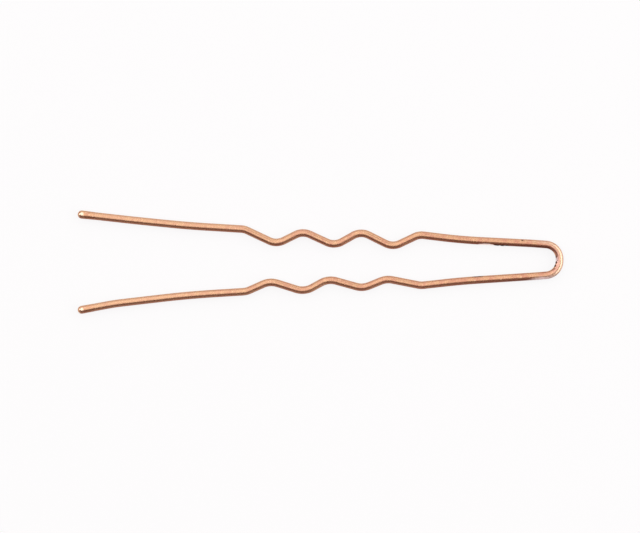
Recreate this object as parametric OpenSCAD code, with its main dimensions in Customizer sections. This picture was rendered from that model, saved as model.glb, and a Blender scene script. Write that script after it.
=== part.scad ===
// A waved, U-shaped hairpin of lacquered spring wire, lying flat as it is photographed.
// The crown, where the wire turns back, is at +X and the two tips are at -X.
// Stations run from the crown's centre line towards the tips, and a leg's "out" is its
// centre line's distance from the pin's middle line. Every bend is named by its knee, the
// point where the straight runs on both sides of it would meet.

/* [Wire] */
// Diameter of the bare spring steel wire
wire_d = 1.1; // [0.8:0.05:1.4]
// Thickness of the lacquer on the wire
lacquer_t = 0.05; // [0.03:0.01:0.1]

/* [Whole pin] */
// Length from the outside of the crown to the ends of the tips
length = 76; // [72:0.5:90]

/* [Crown] */
// Width between the centre lines at the crown's two corners
crown_w = 4.5; // [4.2:0.1:6]
// Bend radius of each corner
crown_r = 2.3; // [1.5:0.1:3]
// Station of the cheeks, where the sides stop leaning out
cheek_at = 4.3; // [3.6:0.1:6]
// Width between the centre lines at the cheeks
cheek_w = 5.15; // [4.4:0.05:6.5]
// Bend radius of each cheek
cheek_r = 20; // [5:1:30]

/* [Flexing] */
// Station of the line that each leg flexes about
flex_at = 10; // [8:0.5:12]
// How far the root's round is wider than the lacquered wire, in radius
knuckle_over = 0.1; // [0.05:0.01:0.3]
// Running gap between a leg's root and its seat in the crown
flex_gap = 0.03; // [0.02:0.01:0.06]

/* [Bows, the long gentle bends] */
// Bend radius of the bow between the crown and the waves
inner_bow_r = 110; // [40:5:150]
// Bend radius of the bow between the waves and the tip
outer_bow_r = 150; // [40:5:200]
// Bend radius of the bow nearest the tip
tip_bow_r = 40; // [20:5:100]

/* [Upper leg] */
// Station of the inner bow
upper_inner_at = 15.5; // [14.5:0.1:18]
// Out at the inner bow
upper_inner_out = 3.15; // [2.6:0.05:4]
// Station of the first wave crest
upper_wave_at = 22; // [21:0.1:24]
// Length of one wave, from crest to crest
upper_wave_pitch = 9.1; // [8:0.1:10]
// Length along the pin from a crest to the trough after it
upper_trough_after = 4.1; // [3.5:0.1:5.5]
// Bend radius of the waves
upper_wave_r = 2.6; // [1.5:0.1:4]
// Out at the four crests, the last of which is the elbow
upper_crests = [3.95, 4.5, 4.5, 4.8]; // [3.5:0.05:6]
// Out at the three troughs
upper_troughs = [2, 2.2, 2.45]; // [1.8:0.05:3.4]
// Station of the outer bow
upper_bow_at = 58.3; // [56:0.1:61]
// Out at the outer bow
upper_bow_out = 5.35; // [4.8:0.05:6.5]
// Length from the tip bow to the middle of the bead
upper_prong = 8; // [5:0.1:10]
// Out at the tip bow
upper_prong_out = 6.2; // [5:0.05:8]
// Out at the tip
upper_tip_out = 7.1; // [6:0.05:10]
// How far the bead stands out over the lacquer
upper_bead_t = 0.05; // [0.03:0.01:0.2]

/* [Lower leg] */
// Station of the inner bow
lower_inner_at = 15.3; // [14.5:0.1:18]
// Out at the inner bow
lower_inner_out = 3.3; // [2.6:0.05:4]
// Station of the first wave crest
lower_wave_at = 21.7; // [21:0.1:24]
// Length of one wave, from crest to crest
lower_wave_pitch = 9.1; // [8:0.1:10]
// Length along the pin from a crest to the trough after it
lower_trough_after = 5.4; // [3.5:0.1:5.8]
// Bend radius of the waves
lower_wave_r = 3.2; // [1.5:0.1:4]
// Out at the four crests, the last of which is the elbow
lower_crests = [4, 4.45, 5, 4.95]; // [3.5:0.05:6]
// Out at the three troughs
lower_troughs = [2.95, 2.95, 3.3]; // [1.8:0.05:3.4]
// Station of the outer bow
lower_bow_at = 58; // [56:0.1:61]
// Out at the outer bow
lower_bow_out = 5.5; // [4.8:0.05:6.5]
// Length from the tip bow to the middle of the bead
lower_prong = 5.1; // [5:0.1:10]
// Out at the tip bow
lower_prong_out = 6.85; // [5:0.05:8]
// Out at the tip
lower_tip_out = 7.8; // [6:0.05:10]
// How far the bead stands out over the lacquer
lower_bead_t = 0.03; // [0.03:0.01:0.2]

/* [Tip beads] */
// Length over which a bead thins out along the wire, to where the lacquer starts
bead_fade = 2; // [1:0.1:4]
// How far a bead's edge stands out over the lacquer
bead_edge_t = 0.015; // [0.01:0.005:0.03]
// How far the cut end of the wire stops short of the middle of the ball
wire_short = 0.25; // [0.1:0.05:0.4]

/* [Hidden] */
$fn = 48;

// The legs, as places in the lists below
upper = 0;
lower = 1;
side = [1, -1];
inner_at = [upper_inner_at, lower_inner_at];
inner_out = [upper_inner_out, lower_inner_out];
wave_at = [upper_wave_at, lower_wave_at];
wave_pitch = [upper_wave_pitch, lower_wave_pitch];
trough_after = [upper_trough_after, lower_trough_after];
wave_r = [upper_wave_r, lower_wave_r];
crests = [upper_crests, lower_crests];
troughs = [upper_troughs, lower_troughs];
bow_at = [upper_bow_at, lower_bow_at];
bow_out = [upper_bow_out, lower_bow_out];
prong = [upper_prong, lower_prong];
prong_out = [upper_prong_out, lower_prong_out];
tip_out = [upper_tip_out, lower_tip_out];
bead_t = [upper_bead_t, lower_bead_t];

// Radii of the bare wire, of the lacquered wire and of each bead
core_r = wire_d / 2;
coat_r = core_r + lacquer_t;
bead_r = [coat_r + upper_bead_t, coat_r + lower_bead_t];

// Radius of a leg's rounded root, and of the seat that it turns in
knuckle_r = coat_r + knuckle_over;
seat_r = knuckle_r + flex_gap;

// The frame: the middle of the pin's box is at x 0, y 0, and what it rests on is at z 0
crown_x = length / 2 - coat_r;
middle_y = (tip_out[lower] + bead_r[lower] - tip_out[upper] - bead_r[upper]) / 2;
rest_z = max(bead_r);

// A bend is this much slimmer than the straight runs, which lap over its ends
bend_slim = 0.01;
// Over a lap, the bend strays from the run's line by this share of that
lap_stray = 0.1;
// A bend takes at most this share of the shorter run beside it, or of one that ends the wire
run_share = 0.49;
end_share = 0.98;
// A lap takes at most this share of the way to the bend's knee
lap_share = 0.4;
// How far a cut reaches past what it cuts
cut_over = 0.5;

// A knee is [x, y, bend radius], and a wire's end is [x, y, length kept straight up to it]
function knee(leg, at, out, r) = [crown_x - at, middle_y + side[leg] * out, r];
function tip_at(leg) = length - coat_r - bead_r[leg];
function corner(leg) = knee(leg, 0, crown_w / 2, crown_r);
function cheek(leg) = knee(leg, cheek_at, cheek_w / 2, cheek_r);
function inner_bow(leg) = knee(leg, inner_at[leg], inner_out[leg], inner_bow_r);
function outer_bow(leg) = knee(leg, bow_at[leg], bow_out[leg], outer_bow_r);
function tip_bow(leg) = knee(leg, tip_at(leg) - prong[leg], prong_out[leg], tip_bow_r);
function tip(leg) = knee(leg, tip_at(leg), tip_out[leg], bead_fade);

// The flex line crosses the straight run between the cheek and the inner bow
function flex(leg) =
    let (way = (flex_at - cheek_at) / (inner_at[leg] - cheek_at))
    knee(leg, flex_at, cheek_w / 2 + (inner_out[leg] - cheek_w / 2) * way, seat_r);

// Crests and troughs in turn, ending on the last crest, which is the elbow
function crest(leg, i) = knee(leg, wave_at[leg] + i * wave_pitch[leg], crests[leg][i], wave_r[leg]);
function trough(leg, i) =
    knee(leg, wave_at[leg] + i * wave_pitch[leg] + trough_after[leg], troughs[leg][i], wave_r[leg]);
function waves(leg) = [
    for (i = [0 : len(troughs[leg]) - 1]) each [crest(leg, i), trough(leg, i)],
    crest(leg, len(troughs[leg]))
];

crown_knees = [flex(upper), cheek(upper), corner(upper), corner(lower), cheek(lower), flex(lower)];
function leg_knees(leg) = [
    flex(leg), inner_bow(leg), each waves(leg), outer_bow(leg), tip_bow(leg), tip(leg)
];

// Geometry of a bent wire, from its knees
function place(k) = [k.x, k.y];
function run(k, i) = place(k[i + 1]) - place(k[i]);
function heading(k, i) = atan2(run(k, i).y, run(k, i).x);
function unit(k, i) = run(k, i) / norm(run(k, i));
function half_turned(angle) = angle > 180 ? angle - 360 : angle < -180 ? angle + 360 : angle;
function turn(k, i) = half_turned(heading(k, i) - heading(k, i - 1));
function has_bend(k, i) = i > 0 && i < len(k) - 1;

// Bend radius at a knee, limited by the runs beside it, and how far the bend reaches along them
function kept(k, i) = has_bend(k, i) ? 0 : k[i].z;
function room(k, i) =
    has_bend(k, i) && has_bend(k, i + 1)
        ? run_share * norm(run(k, i))
        : end_share * (norm(run(k, i)) - kept(k, i) - kept(k, i + 1));
function bend_limit(k, i) = min(room(k, i - 1), room(k, i)) / tan(abs(turn(k, i)) / 2);
function bend_r(k, i) = min(k[i].z, bend_limit(k, i));
function reach(k, i) = has_bend(k, i) ? bend_r(k, i) * tan(abs(turn(k, i)) / 2) : 0;

// How far a run laps over the bend at a knee
function stray_length(r) = sqrt(2 * lap_stray * bend_slim * r);
function lap(k, i) =
    has_bend(k, i) ? min(stray_length(bend_r(k, i)), lap_share * reach(k, i)) : 0;

// One straight run, lapping over the bends at its ends
module straight(k, i, r, before, after) {
    from = reach(k, i) - lap(k, i) - before;
    to = norm(run(k, i)) - reach(k, i + 1) + lap(k, i + 1) + after;
    translate(place(k[i]) + unit(k, i) * from)
        rotate([0, 90, heading(k, i)])
            cylinder(h = to - from, r = r);
}

// One bend, an arc of a torus that starts where its run ends
module bend(k, i, r) {
    to_left = turn(k, i) > 0;
    across = unit(k, i - 1) * (to_left ? 1 : -1);
    start = place(k[i]) - unit(k, i - 1) * reach(k, i);
    first = to_left ? heading(k, i - 1) - 90 : heading(k, i) + 90;
    translate(start + [-across.y, across.x] * bend_r(k, i))
        rotate(first)
            rotate_extrude(angle = abs(turn(k, i)))
                translate([bend_r(k, i), 0])
                    circle(r - bend_slim);
}

// A round wire along its knees, drawn out past its first and last ones if wanted
module bent_wire(k, r, before = 0, after = 0) {
    last = len(k) - 2;
    for (i = [0 : last])
        straight(k, i, r, i == 0 ? before : 0, i == last ? after : 0);
    for (i = [1 : last])
        bend(k, i, r);
}

// The crown's wire, cut at each end to a hollow seat for the leg's root
module crown_stock(r, over = 0) {
    bent_wire(crown_knees, r, over, over);
}
module seats() {
    for (leg = [upper, lower])
        translate(place(flex(leg)))
            cylinder(h = 4 * coat_r, r = seat_r, center = true);
}

// A leg's wire, drawn on past both ends where it cuts, or stopping short of the tip
module leg_stock(leg, r, over = 0, short = 0) {
    bent_wire(leg_knees(leg), r, 2 * knuckle_r + over, over - short);
}

// A leg's root is trimmed round about the flex line
module root_trim(leg) {
    deep = 2 * knuckle_r + 2 * cut_over;
    translate(place(flex(leg)))
        rotate(heading(leg_knees(leg), 0))
            difference() {
                translate([-deep, -seat_r, -2 * coat_r]) cube([deep, 2 * seat_r, 4 * coat_r]);
                cylinder(h = 6 * coat_r, r = knuckle_r, center = true);
            }
}

module leg_wire(leg) {
    difference() {
        leg_stock(leg, core_r, short = wire_short);
        root_trim(leg);
    }
}

// The lacquer is a sleeve along the wire, up to the edge of the bead
module leg_lacquer(leg) {
    difference() {
        leg_stock(leg, coat_r, short = bead_fade);
        leg_stock(leg, core_r, cut_over);
        root_trim(leg);
    }
}

// A dipped bead: a ball round the cut end of the wire, thinning out to meet the lacquer
module tip_bead(leg) {
    k = leg_knees(leg);
    translate(place(tip(leg)))
        rotate([0, -90, heading(k, len(k) - 2)])
            difference() {
                union() {
                    sphere(r = bead_r[leg]);
                    cylinder(h = bead_fade, r1 = bead_r[leg] - bend_slim, r2 = coat_r + bead_edge_t);
                }
                translate([0, 0, wire_short]) cylinder(h = bead_fade + cut_over, r = core_r);
            }
}

module crown_wire() {
    color("#8d9094")
        translate([0, 0, rest_z])
            difference() {
                crown_stock(core_r);
                seats();
            }
}
module upper_leg_wire() {
    color("#8d9094") translate([0, 0, rest_z]) leg_wire(upper);
}
module lower_leg_wire() {
    color("#8d9094") translate([0, 0, rest_z]) leg_wire(lower);
}
module crown_lacquer() {
    color("#86604a")
        translate([0, 0, rest_z])
            difference() {
                crown_stock(coat_r);
                crown_stock(core_r, cut_over);
                seats();
            }
}
module upper_leg_lacquer() {
    color("#8b6550") translate([0, 0, rest_z]) leg_lacquer(upper);
}
module lower_leg_lacquer() {
    color("#80594a") translate([0, 0, rest_z]) leg_lacquer(lower);
}
module upper_tip_bead() {
    color("#b08a70") translate([0, 0, rest_z]) tip_bead(upper);
}
module lower_tip_bead() {
    color("#a67f66") translate([0, 0, rest_z]) tip_bead(lower);
}

crown_wire();
upper_leg_wire();
lower_leg_wire();
crown_lacquer();
upper_leg_lacquer();
lower_leg_lacquer();
upper_tip_bead();
lower_tip_bead();
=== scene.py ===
# %% [markdown]
# # A waved hairpin in bronze lacquer
#
# The pin is one length of spring wire, bent into a long U whose two legs carry three soft waves
# each. It is lacquered a satin bronze, and each cut end is dipped to make a small round bead.
# The CAD model gives every size, and it is loaded here as a fixed frame: what Blender adds has
# to sit exactly where the frame says. What the CAD model lacks is the look, so this lesson makes
# the wire's skin again as smooth lengths of lacquer, gives it the small faults that a dipped and
# handled pin has, and lights it as it was photographed.

# %% Load the imported pin
import math

import bpy
import numpy as np
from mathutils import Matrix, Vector, noise


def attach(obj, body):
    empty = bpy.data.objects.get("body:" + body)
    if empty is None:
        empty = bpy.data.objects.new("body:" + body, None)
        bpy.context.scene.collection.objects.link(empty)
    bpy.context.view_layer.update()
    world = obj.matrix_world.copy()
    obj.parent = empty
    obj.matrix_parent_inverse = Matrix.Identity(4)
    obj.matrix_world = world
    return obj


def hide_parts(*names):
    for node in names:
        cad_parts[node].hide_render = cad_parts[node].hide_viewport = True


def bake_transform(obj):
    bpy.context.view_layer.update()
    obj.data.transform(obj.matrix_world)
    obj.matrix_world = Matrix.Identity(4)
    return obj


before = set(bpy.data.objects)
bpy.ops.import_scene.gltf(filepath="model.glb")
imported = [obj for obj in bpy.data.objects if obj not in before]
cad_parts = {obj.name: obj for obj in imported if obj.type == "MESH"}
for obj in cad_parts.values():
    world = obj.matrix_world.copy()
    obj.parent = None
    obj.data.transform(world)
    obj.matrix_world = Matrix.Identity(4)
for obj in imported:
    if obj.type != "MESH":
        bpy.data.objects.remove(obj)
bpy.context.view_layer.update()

print("nodes:", sorted(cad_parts))

# %% [markdown]
# ## The sizes
#
# A wire form is written down as a list of knees, the points where its straights would meet if
# nothing were rounded, with a bend radius at each. The same numbers drive the CAD model, so
# repeating them here gives the same line to within a hair. They are written in millimetres, as
# a wire bender would, and turned into Blender's metres where a knee is placed.
#
# "At" is the distance back from the crown, and "out" the distance from the pin's middle line.

# %% Wire, lacquer and bead sizes
mm = 0.001
wire_r = 0.55 * mm
coat_r = wire_r + 0.05 * mm
pin_length = 76 * mm
# how far the resin runs back, how far its edge stands up, and how far short of the ball's middle
# the wire ends
bead_fade = 2 * mm
bead_edge = 0.015 * mm
wire_short = 0.25 * mm
crown = dict(width=4.5, corner_bend=2.3, cheek_at=4.3, cheek_width=5.15, cheek_bend=20)
# where a leg flexes, and the length that is kept straight on each side of that point
flex_at = 10
flex_kept = 0.73
print("lacquered wire, mm:", round(2 * coat_r / mm, 3))

# %% Leg sizes
upper = dict(
    side=1, inner_at=15.5, inner_out=3.15, wave_at=22, pitch=9.1, trough_after=4.1, wave_bend=2.6,
    crests=[3.95, 4.5, 4.5, 4.8], troughs=[2, 2.2, 2.45], bow_at=58.3, bow_out=5.35,
    prong=8, prong_out=6.2, tip_out=7.1, bead_r=0.65,
)
lower = dict(
    side=-1, inner_at=15.3, inner_out=3.3, wave_at=21.7, pitch=9.1, trough_after=5.4, wave_bend=3.2,
    crests=[4, 4.45, 5, 4.95], troughs=[2.95, 2.95, 3.3], bow_at=58, bow_out=5.5,
    prong=5.1, prong_out=6.85, tip_out=7.8, bead_r=0.63,
)
inner_bend, outer_bend, tip_bend = 110, 150, 40
crown_x = pin_length / 2 - coat_r
middle_y = (lower["tip_out"] + lower["bead_r"] - upper["tip_out"] - upper["bead_r"]) / 2 * mm
rest_z = upper["bead_r"] * mm
print("crown at x, middle at y, wire at z, mm:", [round(v / mm, 3) for v in (crown_x, middle_y, rest_z)])

# %% [markdown]
# ## The camera
#
# The photograph looks straight down on the pin from far enough away that both legs look equally
# thick. A 200 mm lens just over half a metre up does the same. Only the camera's place over the
# pin is adjusted, so that the pin lies as far from each edge of the frame as it does in the
# photograph. Nothing else is bent to fit the picture.

# %% Camera straight above
lens = 200
sensor_width = 36
# the width that the picture shows, and the place that its middle looks down on
view_width = 100.15 * mm
aim_x, aim_y = -0.09 * mm, -0.69 * mm
camera_data = bpy.data.cameras.new("long lens")
camera_data.lens = lens
camera_data.sensor_width = sensor_width
camera_data.clip_start = 0.01
camera = bpy.data.objects.new("camera", camera_data)
bpy.context.scene.collection.objects.link(camera)
camera.location = (aim_x, aim_y, rest_z + view_width * lens / sensor_width)
bpy.context.scene.camera = camera
print("camera height, m:", round(camera.location.z, 4))

# %% [markdown]
# ## The line of the wire
#
# Blender can round a polyline with a curve object's bevel, but a Bezier curve only comes near a
# true arc, and its points bunch up in the bends. Here the line is walked instead: along each
# straight, round each bend as an exact arc, and on. Every point keeps its heading, which is all
# that a flat wire form needs to place a ring of vertices.

# %% Knees of the legs and the crown
def knee(leg, at, out, bend):
    """One knee in metres: x, y and the bend radius, or at an end the length kept straight."""
    return (crown_x - at * mm, middle_y + leg["side"] * out * mm, bend * mm)


def flex_knee(leg):
    """Where the leg flexes, on the straight between the cheek and the inner bow."""
    cheek_out = crown["cheek_width"] / 2
    way = (flex_at - crown["cheek_at"]) / (leg["inner_at"] - crown["cheek_at"])
    return knee(leg, flex_at, cheek_out + (leg["inner_out"] - cheek_out) * way, flex_kept)


def leg_knees(leg):
    """A leg's knees, from the flex point to the middle of the bead."""
    tip_at = (pin_length - coat_r) / mm - leg["bead_r"]
    knees = [flex_knee(leg), knee(leg, leg["inner_at"], leg["inner_out"], inner_bend)]
    for i, crest in enumerate(leg["crests"]):
        at = leg["wave_at"] + i * leg["pitch"]
        knees.append(knee(leg, at, crest, leg["wave_bend"]))
        if i < len(leg["troughs"]):
            knees.append(knee(leg, at + leg["trough_after"], leg["troughs"][i], leg["wave_bend"]))
    knees.append(knee(leg, leg["bow_at"], leg["bow_out"], outer_bend))
    knees.append(knee(leg, tip_at - leg["prong"], leg["prong_out"], tip_bend))
    knees.append(knee(leg, tip_at, leg["tip_out"], bead_fade / mm))
    return knees


def crown_side(leg):
    """The crown's knees on one side, from the flex point to the corner."""
    cheek = knee(leg, crown["cheek_at"], crown["cheek_width"] / 2, crown["cheek_bend"])
    corner = knee(leg, 0, crown["width"] / 2, crown["corner_bend"])
    return [flex_knee(leg), cheek, corner]


crown_knees = crown_side(upper) + crown_side(lower)[::-1]
print("knees:", len(leg_knees(upper)), len(crown_knees), len(leg_knees(lower)))

# %% Walk along the knees
ring_step = 0.12 * mm
# a run between two bends is shared by both, and a little of it always stays straight
usable = 0.98


def walk(knees):
    """Points (x, y, heading) along the rounded line through the knees."""
    spots = np.array([k[:2] for k in knees])
    runs = np.diff(spots, axis=0)
    span = np.hypot(runs[:, 0], runs[:, 1])
    heading = np.arctan2(runs[:, 1], runs[:, 0])
    last_run = len(runs) - 1

    def room(i):
        """How much of a run the bend at one end of it may use."""
        if 0 < i < last_run:
            return usable / 2 * span[i]
        return usable * (span[i] - knees[0 if i == 0 else -1][2])

    points = []

    def straight(start, end, facing):
        steps = max(1, math.ceil(np.hypot(*(end - start)) / ring_step))
        points.extend((*(start + (end - start) * j / steps), facing) for j in range(steps))

    here = spots[0]
    for i in range(1, len(knees) - 1):
        turn = math.remainder(heading[i] - heading[i - 1], 2 * math.pi)
        half = math.tan(abs(turn) / 2)
        bend = min(knees[i][2], min(room(i - 1), room(i)) / half)
        ahead = runs[i - 1] / span[i - 1]
        entry = spots[i] - ahead * bend * half
        straight(here, entry, heading[i - 1])
        left = np.array([-ahead[1], ahead[0]]) * math.copysign(bend, turn)
        steps = max(2, math.ceil(abs(turn) * bend / ring_step))
        for j in range(steps):
            c, s = math.cos(turn * j / steps), math.sin(turn * j / steps)
            arm = np.array([-left[0] * c + left[1] * s, -left[0] * s - left[1] * c])
            points.append((*(entry + left + arm), heading[i - 1] + turn * j / steps))
        here = spots[i] + runs[i] / span[i] * bend * half
    straight(here, spots[-1], heading[-1])
    points.append((*spots[-1], heading[-1]))
    return points


upper_line, crown_line, lower_line = walk(leg_knees(upper)), walk(crown_knees), walk(leg_knees(lower))
print("points:", len(upper_line), len(crown_line), len(lower_line))

# %% [markdown]
# ## One long line, measured from tip to tip
#
# The three lines are joined into one that runs from the upper tip, round the crown, to the lower
# tip. A point on the pin is then named as on a rail: by its station, the distance along the wire,
# and by its facing, the angle round the wire. Facing 0 is straight up, a quarter turn is towards
# the outside of the U, and minus a quarter turn is towards the inside. That holds all the way
# round, because the outside is always on the left of someone walking along this line.

# %% Join the lines
turned_round = [(x, y, h + math.pi) for x, y, h in reversed(upper_line)]
line = np.array(turned_round + crown_line[1:] + lower_line[1:])
stations = np.concatenate([[0], np.cumsum(np.hypot(*np.diff(line[:, :2], axis=0).T))])
wire_end = stations[-1]
upper_flex_station = stations[len(upper_line) - 1]
lower_flex_station = stations[len(upper_line) + len(crown_line) - 2]
headings = np.unwrap(line[:, 2])


def place_at(station):
    """Middle of the wire at a station, and the unit vector towards the outside of the U."""
    x = np.interp(station, stations, line[:, 0])
    y = np.interp(station, stations, line[:, 1])
    h = np.interp(station, stations, headings)
    beyond = station - np.clip(station, 0, wire_end)
    x, y = x + beyond * np.cos(h), y + beyond * np.sin(h)
    return x, y, -np.sin(h), np.cos(h)


def station_near(x, y):
    """Station of the wire nearest to a point given in millimetres."""
    return stations[np.argmin(np.hypot(line[:, 0] - x * mm, line[:, 1] - y * mm))]


print("wire, tip to tip, mm:", round(wire_end / mm, 2))
print("flex stations, mm:", round(upper_flex_station / mm, 2), round(lower_flex_station / mm, 2))

# %% [markdown]
# ## The faults that handling leaves, and painted highlights
#
# A perfect tube looks like plastic. Close up, the photographed pin has a long chip on the inside
# of the upper leg, where the light steel shows, a few hardened drips beside it, a rubbed place
# inside the crown with dark specks round it, and a pale grey patch under the crown's lower corner.
# A cream stripe is painted down the crown's outside as a highlight, and beside it a pink band is
# painted as another highlight.
#
# Each fault and painted highlight is listed once, by place, facing, length and width, with how far
# it stands up from the lacquer. The list then does two jobs. It moves the mesh, and it writes how
# strongly each vertex is chipped, rubbed, dirty or painted with a highlight into named attributes,
# which the material reads. That keeps paint and shape together, which a texture laid over the mesh
# later can't promise. A chip has a crisp edge and a rub fades out, so each kind also has its own
# softness.

# %% List the faults and painted highlights
# kind, x, y, facing in degrees, length, width round the wire, height (all in mm)
marks_and_highlights = [
    ("chipped", 25.95, 3.3, -73, 2.5, 0.56, -0.045),
    ("soiled", 27.60, 3.2, -68, 1.00, 0.62, 0.045),
    ("soiled", 28.45, 3.2, -72, 0.75, 0.56, 0.060),
    ("soiled", 29.15, 3.1, -66, 0.60, 0.48, 0.030),
    ("soiled", 31.60, 3.0, 44, 0.38, 0.26, 0.010),
    ("rubbed", 37.40, 0.36, -62, 1.05, 0.60, -0.018),
    ("soiled", 37.40, 0.95, -64, 0.50, 0.40, 0.030),
    ("soiled", 37.40, -0.18, -64, 0.50, 0.62, 0.045),
    ("soiled", 37.12, -0.86, -64, 0.52, 0.62, 0.050),
    ("soiled", 37.40, 0.30, -34, 0.20, 0.16, 0.008),
    # a pale grey patch over the dark brown of the near side, under the crown's lower corner
    ("rubbed", 34.60, -2.2, 54, 3.20, 0.66, -0.010),
    ("soiled", 24.70, -2.9, -64, 2.00, 0.26, 0.010),
    # painted highlight: a cream stripe down the crown's outside
    ("cream_highlight", 37.95, 0.34, 31, 9.00, 0.60, -0.003),
    # painted highlight: a pink band along the crown's top, towards the inside
    ("pink_highlight", 37.40, 0.34, -24, 4.60, 0.50, -0.002),
    ("bright", 24.10, -3.1, 6, 0.36, 0.26, 0.010),
    ("bright", 28.30, -2.7, 12, 0.34, 0.24, 0.010),
    ("bright", 31.30, -2.5, 4, 0.40, 0.28, 0.010),
    ("bright", -35.60, 7.2, -8, 0.34, 0.22, 0.008),
]
softness = {"chipped": 0.5, "rubbed": 1.5, "soiled": 0.5, "bright": 0.7, "cream_highlight": 1.5, "pink_highlight": 1.2}
kinds = list(softness)
print("faults:", {k: sum(f[0] == k for f in marks_and_highlights) for k in kinds})

# %% Lacquer surface, faults and painted highlights at a vertex
# swells and sink in mm, noise scales per mm, the rest as shares of a fault's half size
film_sink = 0.006
slow_swell, slow_scale = 0.004, 0.8
fine_swell, fine_scale = 0.002, 3.5
edge_wander, wander_scale = 0.28, 4.1
rim_width = 0.45
farthest = 1.6
placed_marks = [(kinds.index(f[0]), station_near(f[1], f[2]), math.radians(f[3]), *f[4:]) for f in marks_and_highlights]


def clamped(value):
    """A number held between 0 and 1."""
    return min(1, max(0, value))


def eased(way):
    """A step from 0 to 1 that starts and ends gently."""
    return way * way * (3 - 2 * way)


def surface(station, facing):
    """How far the lacquer stands from its nominal radius there, in metres, and its marks."""
    spot = Vector((station / mm, coat_r / mm * math.sin(facing), coat_r / mm * math.cos(facing)))
    slow = slow_swell * noise.noise(spot * slow_scale)
    fine = fine_swell * noise.noise(spot * fine_scale)
    swell = slow + fine - film_sink
    marks = [0.0] * len(kinds)
    for kind, middle, facing_at, long, wide, height in placed_marks:
        along = (station - middle) / mm / (long / 2)
        if abs(along) > farthest:
            continue
        across = math.remainder(facing - facing_at, 2 * math.pi) * coat_r / mm / (wide / 2)
        inside = 1 - math.hypot(along, across) + edge_wander * noise.noise(spot * wander_scale)
        swell += height * eased(clamped(inside / rim_width))
        marks[kind] = max(marks[kind], clamped(0.5 + inside / softness[kinds[kind]]))
    return swell * mm, marks


print("lacquer over the crown's middle, mm:", round(surface(station_near(38, 0.3), 0)[0] / mm, 4))

# %% [markdown]
# ## Turning a piece on the line
#
# Every piece of this pin is round: sleeves of lacquer, lengths of bare wire, beads. A lathe makes
# such shapes by turning a profile about an axis, and the same idea works when the axis is bent.
# A profile is a loop of rings, each with a station and a radius. Going forward along the outside
# and back along the bore makes every face look outwards, so the mesh is closed and its normals
# are right without a repair step. A ring of no radius becomes a single vertex.
#
# Two more attributes are written on the way: where a vertex lies on the straightened wire, and
# how far it lies towards the near side, away from the light, which the lacquer uses for painted shade.

# %% Turn a profile about the line
sides = 40
around = np.linspace(-math.pi, math.pi, sides, endpoint=False)
# the lacquer is never thinner than this, and an edge that turns more than this stays sharp
least_film = 0.004 * mm
sharp_from = math.radians(50)
unmarked = [0.0] * len(kinds)


def ring_faces(starts, is_ring):
    """Faces from each ring to the next, and from the last back to the first, by vertex number."""
    faces = []
    for i, here in enumerate(is_ring):
        k = (i + 1) % len(is_ring)
        there = is_ring[k]
        for j in range(sides if here or there else 0):
            n = (j + 1) % sides
            if here and there:
                faces.append((starts[i] + j, starts[k] + j, starts[k] + n, starts[i] + n))
            elif here:
                faces.append((starts[i] + j, starts[k], starts[i] + n))
            else:
                faces.append((starts[i], starts[k] + j, starts[k] + n))
    return faces


def write_attribute(mesh, name, values):
    """Numbers or vectors at the vertices of a mesh, under a name that a material can read."""
    values = np.array(values, np.float32)
    is_vector = values.ndim == 2
    written = mesh.attributes.new(name, "FLOAT_VECTOR" if is_vector else "FLOAT", "POINT")
    written.data.foreach_set("vector" if is_vector else "value", values.ravel())


def turned(name, profile, skin):
    """A closed mesh object from (station, radius) rings. skin says which rings show the lacquer."""
    vertices, wire_place, toward_shade, marked, starts = [], [], [], [], []
    for (station, radius), shows in zip(profile, skin):
        x, y, out_x, out_y = place_at(station)
        starts.append(len(vertices))
        for facing in around if radius > 0 else around[:1]:
            swell, marks = surface(station, facing) if shows and radius > 0 else (0, unmarked)
            r = max(radius + swell, wire_r + least_film) if shows and radius > wire_r else radius
            side, up = r * math.sin(facing), r * math.cos(facing)
            vertices.append((x + side * out_x, y + side * out_y, rest_z + up))
            wire_place.append((station, side, up))
            # how far the vertex lies towards the near side, away from the light, where the colour paints
            # shade
            toward_shade.append(-side * out_y / mm)
            marked.append(marks)
    faces = ring_faces(starts, [radius > 0 for _, radius in profile])
    mesh = bpy.data.meshes.new(name)
    mesh.from_pydata(vertices, [], faces)
    mesh.shade_smooth()
    mesh.set_sharp_from_angle(angle=sharp_from)
    write_attribute(mesh, "wire_place", wire_place)
    write_attribute(mesh, "toward_shade", toward_shade)
    for kind, amounts in zip(kinds, np.array(marked).T):
        write_attribute(mesh, kind, amounts)
    piece = bpy.data.objects.new(name, mesh)
    bpy.context.scene.collection.objects.link(piece)
    print(name, "faces:", len(faces))
    return piece


# %% [markdown]
# ## Where the pin flexes
#
# The real wire is a spring, and it bends over a good length when the legs are spread. The CAD
# model puts that in one hinge on each leg. If the lacquer followed those two rigid halves it
# would crack open at the hinge, so the skin is made in three lengths that meet well inside the
# crown, where nothing moves. The steel inside is cut in the same way.

# %% Stations where the lengths meet
flex_half = 5 * mm
upper_join = upper_flex_station + flex_half
lower_join = lower_flex_station - flex_half
# rings nearer to an end than this are left out, and the bore needs only every third ring
least_gap = 0.02 * mm
bore_every = 3


def rings_between(first, last):
    """The line's own stations between two others, with both ends."""
    inside = stations[(stations > first + least_gap) & (stations < last - least_gap)]
    return [first, *inside, last]


def sleeve(name, first, last):
    """A length of lacquer: the outside, and back along the bore that the wire fills."""
    rings = rings_between(first, last)
    bore = sorted({first, *rings[::-bore_every]}, reverse=True)
    profile = [(s, coat_r) for s in rings] + [(s, wire_r) for s in bore]
    return turned(name, profile, [True] * len(rings) + [False] * len(bore))


print("lengths meet at stations, mm:", round(upper_join / mm, 2), round(lower_join / mm, 2))

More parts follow.
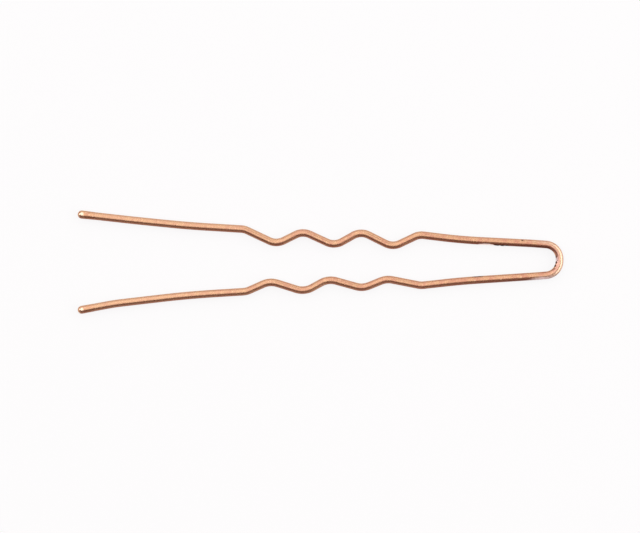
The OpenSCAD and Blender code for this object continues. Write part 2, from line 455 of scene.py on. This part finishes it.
# %% The three lengths of lacquer
upper_skin = sleeve("upper_leg_skin", bead_fade, upper_join)
crown_skin = sleeve("crown_skin", upper_join, lower_join)
lower_skin = sleeve("lower_leg_skin", lower_join, wire_end - bead_fade)

# %% [markdown]
# ## The steel wire
#
# The bare wire hardly shows, but it is the real body of the pin, and a chip is only convincing
# when there is metal behind it. Its cut ends have the slight rounding that a shear leaves.

# %% The three lengths of steel
shear_round = 0.06 * mm


def rod(name, first, last, cut_first=False, cut_last=False):
    """A length of bare wire, with its cut ends rounded."""
    start = [(first, 0), (first, wire_r)]
    end = [(last, wire_r), (last, 0)]
    if cut_first:
        start = [(first, 0), (first, wire_r - shear_round), (first + shear_round, wire_r)]
    if cut_last:
        end = [(last - shear_round, wire_r), (last, wire_r - shear_round), (last, 0)]
    between = [(s, wire_r) for s in rings_between(first, last) if start[-1][0] < s < end[0][0]]
    profile = start + between + end
    return turned(name, profile, [False] * len(profile))


upper_steel = rod("upper_leg_steel", wire_short, upper_join, cut_first=True)
crown_steel = rod("crown_steel", upper_join, lower_join)
lower_steel = rod("lower_leg_steel", lower_join, wire_end - wire_short, cut_last=True)

# %% [markdown]
# ## The dipped beads
#
# The ends were dipped in resin, which drew itself into a ball over the sharp cut and ran back
# along the wire, thinner and thinner, until it stopped in a soft edge. A sphere stuck on the end
# would miss that run-back. Turning one profile makes both: a half circle, then a curve that
# eases from the ball's radius down to a little above the lacquer, and curls in at its edge.

# %% Turn the beads
# the ball is made this much smaller than in CAD, so that its swells stay inside the CAD's size
ball_spare = 0.004 * mm
ball_step = 5
fade_rings = 36
last_ring = 0.03 * mm
# the edge curls in over this length, until it stands only this far above the lacquer
lip_length = 0.12 * mm
lip_left = 0.002 * mm


def bead_radius(back, ball):
    """Radius of the resin at a distance back from the ball's middle."""
    if back < 0:
        return math.sqrt(max(0, ball * ball - back * back))
    lip = max(0, 1 - (bead_fade - back) / lip_length) ** 2 * (bead_edge - lip_left)
    return ball + (coat_r + bead_edge - ball) * eased(back / bead_fade) - lip


def bead(name, leg, at_start):
    """A closed bead on one end of the wire: its ball, its run-back, and the bore that it fills."""
    ball = leg["bead_r"] * mm - ball_spare
    backs = [-ball * math.cos(math.radians(a)) for a in range(0, 90, ball_step)]
    backs += [bead_fade * j / fade_rings for j in range(fade_rings)]
    backs += [bead_fade - last_ring, bead_fade]
    outside = [(b, bead_radius(b, ball) if b > -ball else 0) for b in backs]
    bore = [(bead_fade, wire_r), (wire_short, wire_r), (wire_short, 0)]
    profile = outside + bore
    skin = [True] * len(outside) + [False] * len(bore)
    if not at_start:
        profile = [(wire_end - b, r) for b, r in reversed(profile)]
        skin = skin[::-1]
    return turned(name, profile, skin)


upper_bead = bead("upper_bead", upper, True)
lower_bead = bead("lower_bead", lower, False)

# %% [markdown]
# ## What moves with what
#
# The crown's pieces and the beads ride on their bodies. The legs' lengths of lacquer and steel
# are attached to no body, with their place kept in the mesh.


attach(crown_skin, "crown")
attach(crown_steel, "crown")
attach(upper_bead, "upper_leg")
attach(lower_bead, "lower_leg")
for piece in (upper_skin, upper_steel):
    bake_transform(piece)
for piece in (lower_skin, lower_steel):
    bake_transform(piece)

stands_for = {
    "crown_lacquer": (crown_skin, "lacquer"), "crown_wire": (crown_steel, "steel"),
    "upper_leg_lacquer": (upper_skin, "lacquer"), "upper_leg_wire": (upper_steel, "steel"),
    "lower_leg_lacquer": (lower_skin, "lacquer"), "lower_leg_wire": (lower_steel, "steel"),
    "upper_tip_bead": (upper_bead, "bead"), "lower_tip_bead": (lower_bead, "bead"),
}
for node, (piece, slot) in stands_for.items():
    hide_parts(node)
print("pieces:", len(stands_for))

# %% [markdown]
# ## Node groups for the finishes
#
# The lacquer and the bead share the same pigment: fine metal powder, slightly clotted, with an
# odd bright flake. So its pattern is a node group, built once. It reads the named attribute
# that gives each vertex its place on the straightened wire, so the grain runs with the wire
# round every bend and stays put when the pin flexes. A second group gives a soft painted mask a
# broken edge, a third draws the lengthwise lines that a die leaves on drawn wire, and a fourth
# says where a point lies, by its distance from the nearer tip and its height on the wire.

# %% Helpers for node trees
per_mm = 1000


def new_node(tree, kind, **settings):
    """A node with its properties set, and its inputs where the name is that of a socket."""
    made = tree.nodes.new(kind)
    for key, value in settings.items():
        if hasattr(made, key):
            setattr(made, key, value)
        else:
            made.inputs[key].default_value = value
    return made


def put(tree, value, socket):
    """A number, a colour or another node's output, into an input."""
    if isinstance(value, tuple):
        socket.default_value = (*value, 1)
    elif isinstance(value, (int, float)):
        socket.default_value = value
    elif value is not None:
        tree.links.new(value, socket)


def new_group(name, inputs, outputs):
    """An empty node group with float or vector sockets."""
    group = bpy.data.node_groups.new(name, "ShaderNodeTree")
    for label, kind, value in inputs:
        socket = group.interface.new_socket(label, in_out="INPUT", socket_type=kind)
        if value is not None:
            socket.default_value = value
    for label in outputs:
        group.interface.new_socket(label, in_out="OUTPUT", socket_type="NodeSocketFloat")
    return group, group.nodes.new("NodeGroupInput"), group.nodes.new("NodeGroupOutput")


def reckon(tree, operation, a, b=None, c=None):
    """A Math node on numbers or sockets, giving its output."""
    made = new_node(tree, "ShaderNodeMath", operation=operation)
    for socket, value in zip(made.inputs, (a, b, c)):
        put(tree, value, socket)
    return made.outputs[0]


def stretched(tree, value, low, high, to_low=0.0, to_high=1.0):
    """A clamped Map Range from low..high to to_low..to_high."""
    made = new_node(tree, "ShaderNodeMapRange", interpolation_type="SMOOTHSTEP")
    put(tree, value, made.inputs["Value"])
    for name, number in (("From Min", low), ("From Max", high), ("To Min", to_low), ("To Max", to_high)):
        put(tree, number, made.inputs[name])
    return made.outputs["Result"]


def in_mm(tree, place, along=1.0):
    """The wire's coordinates in millimetres, drawn out along the wire where along is under 1."""
    made = new_node(tree, "ShaderNodeVectorMath", operation="MULTIPLY")
    put(tree, place, made.inputs[0])
    made.inputs[1].default_value = (along * per_mm, per_mm, per_mm)
    return made.outputs[0]


def texture(tree, kind, place, **settings):
    """A texture node, read at the given coordinates."""
    made = new_node(tree, kind, **settings)
    put(tree, place, made.inputs["Vector"])
    return made


print("node helpers ready")

# %% Group: metal powder in the lacquer
powder, powder_in, powder_out = new_group(
    "metal powder",
    [
        ("Place", "NodeSocketVector", None),
        ("Grain", "NodeSocketFloat", 4.5),
        ("Flakes", "NodeSocketFloat", 0.12),
    ],
    ["Tone", "Flake", "Cloud", "Height"],
)
clot_share, grain_share = 0.38, 0.62
bump_height, grain_height, flake_height = 0.6, 0.6, 0.35

place = in_mm(powder, powder_in.outputs["Place"])
clots = texture(powder, "ShaderNodeTexNoise", place, Scale=1.2, Detail=2)
grains = texture(powder, "ShaderNodeTexNoise", place, Detail=4, Roughness=0.65)
skin_bumps = texture(powder, "ShaderNodeTexNoise", place, Scale=13, Detail=3)
flakes = texture(powder, "ShaderNodeTexVoronoi", place, Scale=3.4)
put(powder, powder_in.outputs["Grain"], grains.inputs["Scale"])

tone = reckon(powder, "MULTIPLY", clots.outputs[0], clot_share)
tone = reckon(powder, "MULTIPLY_ADD", grains.outputs[0], grain_share, tone)
put(powder, stretched(powder, tone, 0.36, 0.64), powder_out.inputs["Tone"])
put(powder, stretched(powder, clots.outputs[0], 0.38, 0.62), powder_out.inputs["Cloud"])

flake_pick = new_node(powder, "ShaderNodeSeparateColor")
put(powder, flakes.outputs["Color"], flake_pick.inputs["Color"])
picked = reckon(powder, "LESS_THAN", flake_pick.outputs[0], powder_in.outputs["Flakes"])
near_flake = stretched(powder, flakes.outputs["Distance"], 0.42, 0.18)
flake = reckon(powder, "MULTIPLY", picked, near_flake)
put(powder, flake, powder_out.inputs["Flake"])

height = reckon(powder, "MULTIPLY", grains.outputs[0], grain_height)
height = reckon(powder, "MULTIPLY_ADD", skin_bumps.outputs[0], bump_height, height)
height = reckon(powder, "MULTIPLY_ADD", flake, flake_height, height)
put(powder, height, powder_out.inputs["Height"])
print(powder.name, "nodes:", len(powder.nodes))

# %% Group: a mask with a broken edge
broken, broken_in, broken_out = new_group(
    "broken edge",
    [
        ("Mask", "NodeSocketFloat", 0),
        ("Place", "NodeSocketVector", None),
        ("Ragged", "NodeSocketFloat", 0.5),
        ("Soft", "NodeSocketFloat", 0.14),
    ],
    ["Mask"],
)
noise_middle = 0.5
edge_at = 0.52
least_mask = 0.01

place = in_mm(broken, broken_in.outputs["Place"])
edge_noise = texture(broken, "ShaderNodeTexNoise", place, Scale=7, Detail=3)
shift = reckon(broken, "SUBTRACT", edge_noise.outputs[0], noise_middle)
shift = reckon(broken, "MULTIPLY", shift, broken_in.outputs["Ragged"])
torn = reckon(broken, "ADD", broken_in.outputs["Mask"], shift)
lowest = reckon(broken, "SUBTRACT", edge_at, broken_in.outputs["Soft"])
torn = reckon(broken, "SUBTRACT", torn, lowest)
torn = reckon(broken, "DIVIDE", torn, broken_in.outputs["Soft"])
painted = reckon(broken, "GREATER_THAN", broken_in.outputs["Mask"], least_mask)
torn = reckon(broken, "MULTIPLY", stretched(broken, torn, 0, 2), painted)
put(broken, torn, broken_out.inputs["Mask"])
print(broken.name, "nodes:", len(broken.nodes))

# %% Group: lengthwise lines from the drawing die
drawn, drawn_in, drawn_out = new_group(
    "drawn lines",
    [("Place", "NodeSocketVector", None), ("Lines", "NodeSocketFloat", 16.0)],
    ["Shade", "Height"],
)
line_stretch = 0.06

place = in_mm(drawn, drawn_in.outputs["Place"], line_stretch)
line_noise = texture(drawn, "ShaderNodeTexNoise", place, Detail=3)
put(drawn, drawn_in.outputs["Lines"], line_noise.inputs["Scale"])
put(drawn, stretched(drawn, line_noise.outputs[0], 0.3, 0.7), drawn_out.inputs["Shade"])
put(drawn, line_noise.outputs[0], drawn_out.inputs["Height"])
print(drawn.name, "nodes:", len(drawn.nodes))

# %% Group: where on the wire a point lies
whereabouts, where_in, where_out = new_group(
    "place on the wire",
    [("Place", "NodeSocketVector", None), ("Length", "NodeSocketFloat", 0.17)],
    ["From tip", "Up"],
)
place_parts = new_node(whereabouts, "ShaderNodeSeparateXYZ")
put(whereabouts, where_in.outputs["Place"], place_parts.inputs[0])
from_other_tip = reckon(whereabouts, "SUBTRACT", where_in.outputs["Length"], place_parts.outputs["X"])
from_tip = reckon(whereabouts, "MINIMUM", place_parts.outputs["X"], from_other_tip)
put(whereabouts, reckon(whereabouts, "MULTIPLY", from_tip, per_mm), where_out.inputs["From tip"])
up = reckon(whereabouts, "MULTIPLY", place_parts.outputs["Z"], per_mm)
put(whereabouts, up, where_out.inputs["Up"])
print(whereabouts.name, "nodes:", len(whereabouts.nodes))

# %% [markdown]
# ## The finishes
#
# Bronze lacquer is powdered metal under a thin clear film. The powder makes it mostly metallic,
# but each grain lies at its own angle, so highlights spread wide, and the film adds a faint
# gleam. The bead's resin is the same bronze, with a clear glossy drop at the very end, whose top
# is painted cream as a highlight. The steel is a plain metal with the die's fine lines, and only
# shows where the lacquer is chipped.
#
# Colours are mixed one over the other, in this order: the powder's two tones and its honey
# clouds, painted light that turns gold towards the tips, bright flakes, painted shade in brown
# over the under half and the near side and darker still towards the crown, then a painted pink
# and a painted cream highlight on the crown, the rubbed grey, dirt, and bare steel last. Each is
# a row in a table: where it lies, what colour it is, and how much it covers at most. A warm
# Specular Tint keeps the edges bronze, where bare metal would go white.

# %% Helpers for the finishes
def new_finish(name):
    """A material with its Principled shader, and the wire's own coordinates."""
    material = bpy.data.materials.new(name)
    material.use_nodes = True
    tree = material.node_tree
    shader = tree.nodes["Principled BSDF"]
    place = new_node(tree, "ShaderNodeAttribute", attribute_name="wire_place")
    return material, tree, shader, place.outputs["Vector"]


def use_group(tree, group, **values):
    """A node group in a material, its inputs given as numbers or sockets."""
    made = tree.nodes.new("ShaderNodeGroup")
    made.node_tree = group
    for name, value in values.items():
        put(tree, value, made.inputs[name])
    return made


# a Mix node has its colours on inputs 6 and 7 and output 2, and its numbers on 2, 3 and 0
def colour_over(tree, under, mask, colour, most=1.0):
    """A colour laid over another where the mask says, at most so strongly."""
    mix = new_node(tree, "ShaderNodeMix", data_type="RGBA")
    put(tree, reckon(tree, "MULTIPLY", mask, most), mix.inputs["Factor"])
    put(tree, under, mix.inputs[6])
    put(tree, colour, mix.inputs[7])
    return mix.outputs[2]


def value_over(tree, under, mask, value):
    """A number laid over another where the mask says."""
    mix = new_node(tree, "ShaderNodeMix", data_type="FLOAT")
    put(tree, mask, mix.inputs["Factor"])
    put(tree, under, mix.inputs[2])
    put(tree, value, mix.inputs[3])
    return mix.outputs[0]


def vertex_value(tree, name):
    """A number that was written at the vertices."""
    return new_node(tree, "ShaderNodeAttribute", attribute_name=name).outputs["Fac"]


def painted_mask(tree, kind, place, ragged, soft=0.14):
    """One of the fault attributes, with its edge broken up."""
    mask = vertex_value(tree, kind)
    return use_group(tree, broken, Mask=mask, Place=place, Ragged=ragged, Soft=soft).outputs[0]


def painted_underside_shade(tree, where, toward_shade):
    """A mask for painted shade: the under half of the wire and its near side, away from the light."""
    below = stretched(tree, where.outputs["Up"], 0.16, -0.14)
    return reckon(tree, "MAXIMUM", below, stretched(tree, toward_shade, 0.34, 0.54))


def finish_with(tree, shader, values):
    """Sockets, and numbers and colours that are the same all over, on the shader's own inputs."""
    for name, value in values.items():
        put(tree, value, shader.inputs[name])


def relief(tree, shader, height, strength, distance):
    """Grain that is too fine for the mesh, as bump."""
    bump = new_node(tree, "ShaderNodeBump", Strength=strength, Distance=distance)
    put(tree, height, bump.inputs["Height"])
    put(tree, bump.outputs["Normal"], shader.inputs["Normal"])


print("finish helpers ready")

# %% Bronze lacquer
bronze_dark = (0.532, 0.254, 0.166)
bronze_light = (0.606, 0.334, 0.226)
bronze_honey = (0.598, 0.380, 0.202)
# painted light: the lacquer turns lighter and more golden towards the tips
tip_light_gold = (0.648, 0.422, 0.262)
# painted shade: brown over the under half and the near side, away from the light
painted_shade_brown = (0.262, 0.088, 0.064)
flake_gold = (0.96, 0.72, 0.49)
soil_brown = (0.050, 0.022, 0.016)
rubbed_grey = (0.80, 0.67, 0.69)
steel_grey = (0.93, 0.91, 0.92)
# painted highlight: the cream stripe down the crown's outside
painted_cream_highlight = (0.74, 0.565, 0.42)
# painted highlight: the pink band along the crown's top
painted_pink_highlight = (0.70, 0.41, 0.35)
# painted shade: the near side grows darker still towards the crown
painted_deep_shade = (0.085, 0.026, 0.024)
# distances from the nearer tip, in mm: from where to where each colour comes in
tip_light_from_to = (88, -20)
deeper_shade_from_to = (52, 78)
# how much wider the painted shade of the near side grows towards the crown
near_side_shade_gain = 0.08

lacquer, tree, shader, place = new_finish("bronze lacquer")
pigment = use_group(tree, powder, Place=place, Grain=4.5, Flakes=0.12)
where = use_group(tree, whereabouts, Place=place, Length=float(wire_end))
chip = painted_mask(tree, "chipped", place, ragged=0.35)
rub = painted_mask(tree, "rubbed", place, ragged=0.5, soft=0.4)
soil = painted_mask(tree, "soiled", place, ragged=0.5)
spark = painted_mask(tree, "bright", place, ragged=0.4)
# painted highlight: the cream stripe down the crown's outside
cream_highlight_mask = painted_mask(tree, "cream_highlight", place, ragged=0.15, soft=0.5)
# painted highlight: the pink band along the crown's top
pink_highlight_mask = painted_mask(tree, "pink_highlight", place, ragged=0.15, soft=0.5)
# painted light, growing towards the tips
lit_towards_tips = stretched(tree, where.outputs["From tip"], *tip_light_from_to)
near_crown = stretched(tree, where.outputs["From tip"], *deeper_shade_from_to)
# painted shade: the near side, widened towards the crown, and the under half
toward_shade = reckon(tree, "MULTIPLY_ADD", near_crown, near_side_shade_gain, vertex_value(tree, "toward_shade"))
under = painted_underside_shade(tree, where, toward_shade)
# painted shade, darker towards the crown
deeper_shade = reckon(tree, "MULTIPLY", under, near_crown)

colour = bronze_dark
# mask, colour, and how strongly it covers at most; the gold towards the tips, the under and deep browns,
# and the pink and cream are painted light and shade
for mask, laid, most in (
    (pigment.outputs["Tone"], bronze_light, 1.0),
    (pigment.outputs["Cloud"], bronze_honey, 0.5),
    (lit_towards_tips, tip_light_gold, 0.6),
    (pigment.outputs["Flake"], flake_gold, 0.35),
    (under, painted_shade_brown, 0.9),
    (deeper_shade, painted_deep_shade, 0.75),
    (pink_highlight_mask, painted_pink_highlight, 0.8),
    (cream_highlight_mask, painted_cream_highlight, 0.85),
    (spark, flake_gold, 0.55),
    (rub, rubbed_grey, 0.85),
    (soil, soil_brown, 0.92),
    (chip, steel_grey, 1.0),
):
    colour = colour_over(tree, colour, mask, laid, most)
rough = stretched(tree, pigment.outputs["Tone"], 0, 1, 0.32, 0.26)
for mask, roughness in ((cream_highlight_mask, 0.36), (rub, 0.6), (soil, 0.75), (chip, 0.2)):
    rough = value_over(tree, rough, mask, roughness)
metal = 0.85
for mask, share in ((rub, 0.15), (soil, 0.1), (chip, 1.0)):
    metal = value_over(tree, metal, mask, share)

finish_with(tree, shader, {
    "Base Color": colour, "Roughness": rough, "Metallic": metal,
    "Specular IOR Level": 0.5, "Specular Tint": (1.0, 0.62, 0.47),
    "Coat Weight": 0.06, "Coat Roughness": 0.3, "Coat IOR": 1.5,
})
relief(tree, shader, pigment.outputs["Height"], strength=0.08, distance=0.012 * mm)
print(lacquer.name, "nodes:", len(tree.nodes))

# %% Bead resin
bead_amber = (0.57, 0.33, 0.16)
# painted highlight: cream on the top of the ball
painted_bead_highlight = (0.97, 0.80, 0.58)
# in mm: distances from the tip for the ball and for the neck behind it, heights for the ball's top
ball_from_to = (0.42, 0.08)
neck_from_to = (2.7, 0.9)
top_from_to = (0.47, 0.60)

resin, tree, shader, place = new_finish("bead resin")
pigment = use_group(tree, powder, Place=place, Grain=3.2, Flakes=0.16)
where = use_group(tree, whereabouts, Place=place, Length=float(wire_end))
spark = painted_mask(tree, "bright", place, ragged=0.4)
ball = stretched(tree, where.outputs["From tip"], *ball_from_to)
neck = stretched(tree, where.outputs["From tip"], *neck_from_to)
# painted light, growing towards the tips
lit_towards_tips = stretched(tree, where.outputs["From tip"], *tip_light_from_to)
amber = reckon(tree, "MULTIPLY", pigment.outputs["Cloud"], neck)
# the ball's top: a glossy clear drop, and cream painted there as a highlight
glossy_drop_and_highlight = reckon(tree, "MULTIPLY", ball, stretched(tree, where.outputs["Up"], *top_from_to))
# painted shade: brown over the ball's under half and near side
under = painted_underside_shade(tree, where, vertex_value(tree, "toward_shade"))

colour = bronze_dark
for mask, laid, most in (
    (pigment.outputs["Tone"], bronze_light, 1.0),
    (amber, bead_amber, 0.75),
    (lit_towards_tips, tip_light_gold, 0.4),
    (pigment.outputs["Flake"], flake_gold, 0.55),
    (spark, flake_gold, 0.4),
    (glossy_drop_and_highlight, painted_bead_highlight, 0.85),
    (under, painted_shade_brown, 0.9),
):
    colour = colour_over(tree, colour, mask, laid, most)
rough = stretched(tree, pigment.outputs["Tone"], 0, 1, 0.34, 0.26)
rough = value_over(tree, rough, glossy_drop_and_highlight, 0.22)

finish_with(tree, shader, {
    "Base Color": colour, "Roughness": rough, "Metallic": 0.9, "Specular Tint": (1.0, 0.70, 0.56),
    "Coat Weight": glossy_drop_and_highlight, "Coat Roughness": 0.14, "Coat IOR": 1.9,
})
relief(tree, shader, pigment.outputs["Height"], strength=0.08, distance=0.010 * mm)
print(resin.name, "nodes:", len(tree.nodes))

# %% Drawn steel
steel_dark = (0.42, 0.43, 0.45)
steel_light = (0.62, 0.63, 0.65)

steel, tree, shader, place = new_finish("drawn steel")
lines = use_group(tree, drawn, Place=place, Lines=16.0)
colour = colour_over(tree, steel_dark, lines.outputs["Shade"], steel_light)
rough = stretched(tree, lines.outputs["Shade"], 0, 1, 0.38, 0.26)
finish_with(tree, shader, {"Base Color": colour, "Roughness": rough, "Metallic": 1.0})
relief(tree, shader, lines.outputs["Height"], strength=0.3, distance=0.006 * mm)
print(steel.name, "nodes:", len(tree.nodes))

# %% Give each piece its finish
finishes = {"lacquer": lacquer, "bead": resin, "steel": steel}
for node, (piece, slot) in stands_for.items():
    piece.data.materials.append(finishes[slot])
    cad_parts[node].data.materials.clear()
    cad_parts[node].data.materials.append(finishes[slot])
print("finishes:", sorted(m.name for m in finishes.values()))

# %% [markdown]
# ## The floor and the light
#
# The photograph is of a catalogue kind: the pin lies on white, under a wide soft light that hangs
# overhead and a little beyond the pin, so each wire is peach over its top and turns dark brown on
# the near side, where the lacquer's colour also carries painted shade. A second panel stands beyond
# the pin and reaches up almost to the first, so that no dark gap is reflected between them. A tall
# one on the right draws the cream stripe down the outside of the crown, which the lacquer's colour
# also paints as a highlight, and a small one on the left lifts its inner edge. The room is dim and
# reddish, which is what the shaded side of the wire shows.
#
# Light on a pin is mostly reflection, so what matters is how large each panel looks from the pin
# and how bright its face is. The helper below therefore takes a panel's brightness, where 1 is
# the white of paper, and works out the watts. Together they light a flat card about as brightly
# as it is written. To the camera and to any shiny surface the floor shows mostly its own white,
# and takes only faint shadows, so the background stays white without any more light on the pin.

# %% Softboxes
def softbox(name, place, width, height, brightness, tint):
    """A rectangular panel that faces the pin, as bright to look at as brightness says."""
    lamp = bpy.data.lights.new(name, "AREA")
    lamp.shape = "RECTANGLE"
    lamp.size, lamp.size_y = width, height
    lamp.energy = brightness * math.pi * width * height
    lamp.color = tint
    made = bpy.data.objects.new(name, lamp)
    bpy.context.scene.collection.objects.link(made)
    made.location = place
    made.rotation_euler = (-Vector(place)).to_track_quat("-Z", "Y").to_euler()
    print(name, "watts:", round(lamp.energy, 2))


# place, width and height in metres, then brightness and tint
softbox("overhead panel", (-0.14, 0.15, 0.90), 0.92, 1.02, 1.48, (0.99, 0.985, 0.97))
softbox("far panel", (0.0, 1.00, 0.53), 1.5, 1.02, 1.25, (0.99, 0.985, 0.97))
softbox("right panel", (0.86, 0.0, 0.50), 1.9, 0.74, 2.6, (1.0, 0.97, 0.93))
softbox("left panel", (-0.86, 0.22, 0.42), 0.70, 0.65, 2.3, (1.0, 0.97, 0.95))

# %% The room's own light
room_red = (1.0, 0.40, 0.34, 1)
room_strength = 0.16
world = bpy.data.worlds.new("soft room")
world.use_nodes = True
background = world.node_tree.nodes["Background"]
background.inputs["Color"].default_value = room_red
background.inputs["Strength"].default_value = room_strength
bpy.context.scene.world = world
print("room light:", background.inputs["Strength"].default_value)

# %% Pale floor
floor_reach = 3
paper_white = (0.90, 0.92, 0.95)
shown_white = (0.980, 0.977, 0.982)
shown_share = 0.88

low, high = -floor_reach, floor_reach
floor_mesh = bpy.data.meshes.new("pale floor")
floor_mesh.from_pydata([(low, low, 0), (high, low, 0), (high, high, 0), (low, high, 0)], [], [(0, 1, 2, 3)])
floor = bpy.data.objects.new("pale floor", floor_mesh)
bpy.context.scene.collection.objects.link(floor)

paper = bpy.data.materials.new("white paper")
paper.use_nodes = True
tree = paper.node_tree
tree.nodes.remove(tree.nodes["Principled BSDF"])
matt = new_node(tree, "ShaderNodeBsdfDiffuse")
put(tree, paper_white, matt.inputs["Color"])
glow = new_node(tree, "ShaderNodeEmission")
put(tree, shown_white, glow.inputs["Color"])
seen = new_node(tree, "ShaderNodeLightPath")
looks = reckon(tree, "MAXIMUM", seen.outputs["Is Camera Ray"], seen.outputs["Is Glossy Ray"])
looks = reckon(tree, "MAXIMUM", looks, seen.outputs["Is Transmission Ray"])
blend = new_node(tree, "ShaderNodeMixShader")
put(tree, reckon(tree, "MULTIPLY", looks, shown_share), blend.inputs[0])
put(tree, matt.outputs[0], blend.inputs[1])
put(tree, glow.outputs[0], blend.inputs[2])
put(tree, blend.outputs[0], tree.nodes["Material Output"].inputs["Surface"])
floor_mesh.materials.append(paper)
print("floor corners:", len(floor_mesh.vertices))

# %% [markdown]
# ## Colours as written
#
# The Standard view transform shows a colour as it is written, with no film look over it.

# %% Show plain colours
bpy.context.scene.view_settings.view_transform = "Standard"
